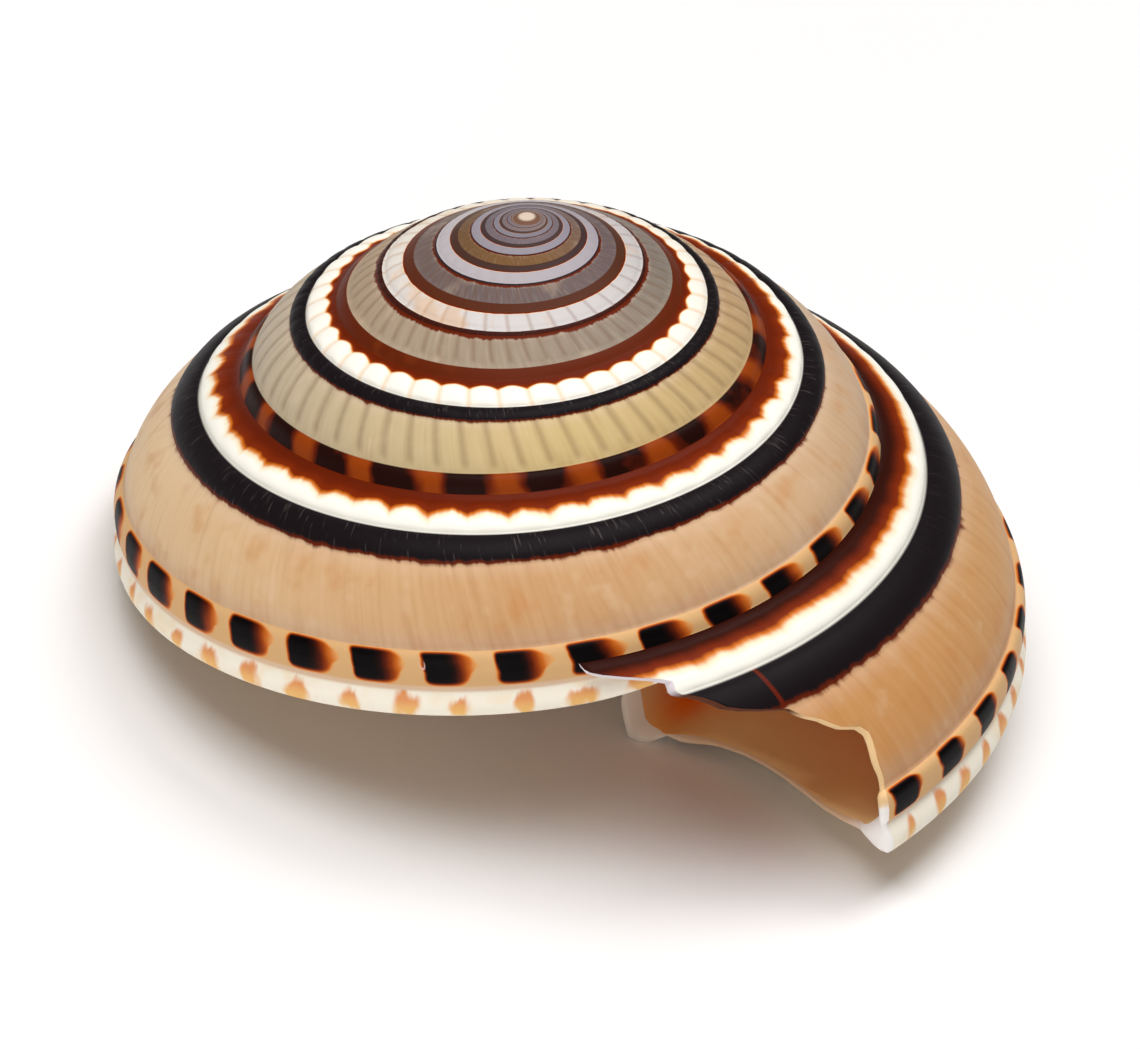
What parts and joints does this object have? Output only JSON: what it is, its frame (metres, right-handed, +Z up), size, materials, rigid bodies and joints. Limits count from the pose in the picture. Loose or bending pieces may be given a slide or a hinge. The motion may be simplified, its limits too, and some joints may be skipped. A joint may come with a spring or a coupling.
{
  "type": "sundial shell",
  "caption": "Low right-handed coiled sea snail shell with banded, corded whorls, an open mouth and a deep umbilicus with a notched edge. It rests on its base.",
  "frame": {"origin": "centre of the bounding box's base, on the surface that the shell rests on", "axes": "+Z up as the shell lies on its base, near its shortest extent; the mouth is towards +X and -Y, and the coil axis leans 10.6 degrees away from it"},
  "size_m": [0.0436, 0.0392, 0.0232],
  "materials": {
    "shell": "satin natural shell, tan with white, black and rust-brown spiral bands"
  },
  "bodies": {
    "root": {"shell": "shell"}
  },
  "joints": []
}
